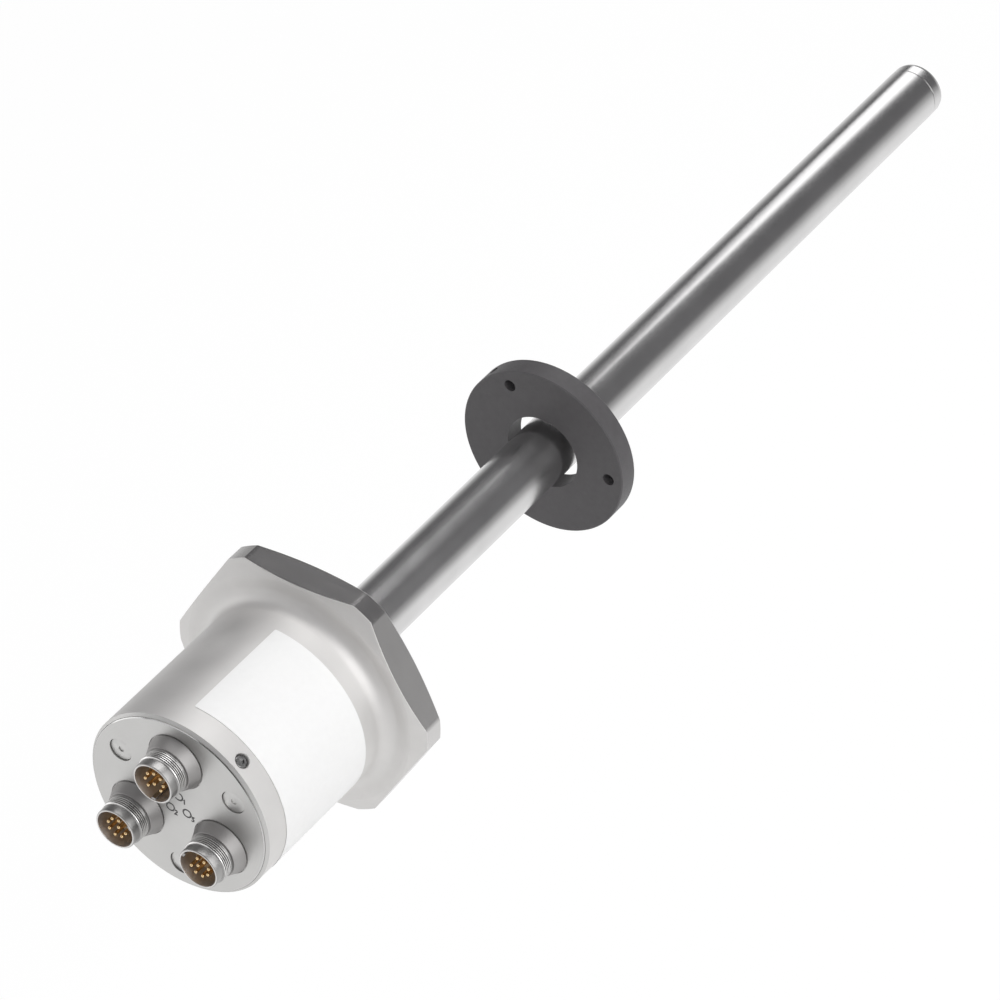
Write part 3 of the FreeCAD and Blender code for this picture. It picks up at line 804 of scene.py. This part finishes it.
def build_floor():
    """White floor. To the camera and in reflections it glows as a painted white pool of light, greyer
    further out, with a faint shadow.
    """
    mesh = bpy.data.meshes.new("floor")
    signs = ((-1, -1), (1, -1), (1, 1), (-1, 1))
    corners = [(FLOOR_SIZE * x, FLOOR_SIZE * y, FLOOR_LEVEL) for x, y in signs]
    mesh.from_pydata(corners, [], [(0, 1, 2, 3)])
    floor = bpy.data.objects.new("floor", mesh)
    bpy.context.scene.collection.objects.link(floor)
    material = bpy.data.materials.new("floor_white")
    material.use_nodes = True
    tree = material.node_tree
    tree.nodes.clear()
    out = tree.nodes.new("ShaderNodeOutputMaterial")
    mix = tree.nodes.new("ShaderNodeMixShader")
    both = tree.nodes.new("ShaderNodeAddShader")
    lit = tree.nodes.new("ShaderNodeBsdfDiffuse")
    shadowed = tree.nodes.new("ShaderNodeBsdfDiffuse")
    painted_pool_glow = tree.nodes.new("ShaderNodeEmission")
    lit.inputs["Color"].default_value = grey(0.85)
    shadowed.inputs["Color"].default_value = grey(0.1)
    coords = tree.nodes.new("ShaderNodeTexCoord")
    away = tree.nodes.new("ShaderNodeVectorMath")
    away.operation = "DISTANCE"
    away.inputs[1].default_value = PAINTED_POOL_MIDDLE
    reach = tree.nodes.new("ShaderNodeMapRange")
    reach.inputs["From Max"].default_value = FLOOR_SIZE
    # Painted pool of light: the glow fades with the distance from the pool's middle.
    painted_pool_fade = tree.nodes.new("ShaderNodeValToRGB")
    stops = painted_pool_fade.color_ramp.elements
    for stop, (distance, value) in zip(stops, (PAINTED_POOL[0], PAINTED_POOL[-1])):
        stop.position, stop.color = distance / FLOOR_SIZE, grey(value)
    for distance, value in PAINTED_POOL[1:-1]:
        stops.new(distance / FLOOR_SIZE).color = grey(value)
    tree.links.new(coords.outputs["Object"], away.inputs[0])
    tree.links.new(away.outputs["Value"], reach.inputs["Value"])
    tree.links.new(reach.outputs["Result"], painted_pool_fade.inputs["Fac"])
    tree.links.new(painted_pool_fade.outputs["Color"], painted_pool_glow.inputs["Color"])
    tree.links.new(any_ray(tree, SEEN), mix.inputs["Fac"])
    tree.links.new(painted_pool_glow.outputs[0], both.inputs[0])
    tree.links.new(shadowed.outputs[0], both.inputs[1])
    tree.links.new(lit.outputs[0], mix.inputs[1])
    tree.links.new(both.outputs[0], mix.inputs[2])
    tree.links.new(mix.outputs[0], out.inputs["Surface"])
    mesh.materials.append(material)


def build_world():
    """A grey room, paler at the horizon."""
    world = bpy.data.worlds.new("studio")
    world.use_nodes = True
    tree = world.node_tree
    coords = tree.nodes.new("ShaderNodeTexCoord")
    split = tree.nodes.new("ShaderNodeSeparateXYZ")
    rise = tree.nodes.new("ShaderNodeMapRange")
    mix = tree.nodes.new("ShaderNodeMix")
    mix.data_type = "RGBA"
    rise.interpolation_type = "SMOOTHSTEP"
    rise.inputs["From Max"].default_value = 0.25
    mix.inputs[MIX_A].default_value = grey(0.45)
    mix.inputs[MIX_B].default_value = (0.145, 0.143, 0.147, 1)
    tree.links.new(coords.outputs["Generated"], split.inputs["Vector"])
    tree.links.new(split.outputs["Z"], rise.inputs["Value"])
    tree.links.new(rise.outputs["Result"], mix.inputs["Factor"])
    tree.links.new(mix.outputs[MIX_RESULT], tree.nodes["Background"].inputs["Color"])
    bpy.context.scene.world = world


def add_softbox(name, place_at, target, size, power, spin=0.0):
    """An area lamp that faces its target; the spin, in degrees, turns it about that line."""
    lamp = bpy.data.lights.new(name, "AREA")
    lamp.shape = "RECTANGLE"
    lamp.size, lamp.size_y = size
    lamp.energy = power
    obj = bpy.data.objects.new(name, lamp)
    obj.location = place_at
    obj.rotation_mode = "QUATERNION"
    aim = (Vector(target) - Vector(place_at)).to_track_quat("-Z", "Y")
    obj.rotation_quaternion = aim @ Quaternion((0, 0, 1), math.radians(spin))
    bpy.context.scene.collection.objects.link(obj)


def build_camera():
    """The photograph's view."""
    camera = bpy.data.cameras.new("camera")
    camera.sensor_width = 36.0
    camera.lens = 179.63
    camera.clip_start, camera.clip_end = 0.1, 20.0
    obj = bpy.data.objects.new("camera", camera)
    obj.location = (-0.96348, -0.70928, 1.07687)
    obj.rotation_mode = "QUATERNION"
    obj.rotation_quaternion = Vector((0.63765, 0.42291, -0.64386)).to_track_quat("-Z", "Y")
    bpy.context.scene.collection.objects.link(obj)
    bpy.context.scene.camera = obj


build_floor()
build_world()
add_softbox("overhead", (0.34, 0.1, 1.0), (0.34, 0.1, 0.0), (0.5, 0.8), 4.1)
add_softbox("far", (2.03, 0.687, 1.0), (2.03, 0.687, 0.0), (1.0, 1.7), 9.5, -40.2)
add_softbox("side", (-0.15, -1.3, 0.85), (0.0, 0.0, 0.0), (1.9, 1.6), 20.0)
add_softbox("front", (-1.2, 0.8, 1.2), (0.0, 0.0, 0.0), (1.5, 1.5), 4.5)
add_softbox("fill", (-0.4, 1.3, 0.1), (-0.03, 0.0, 0.0), (0.9, 0.7), 2.2)
build_camera()
bpy.context.scene.view_settings.view_transform = "Standard"
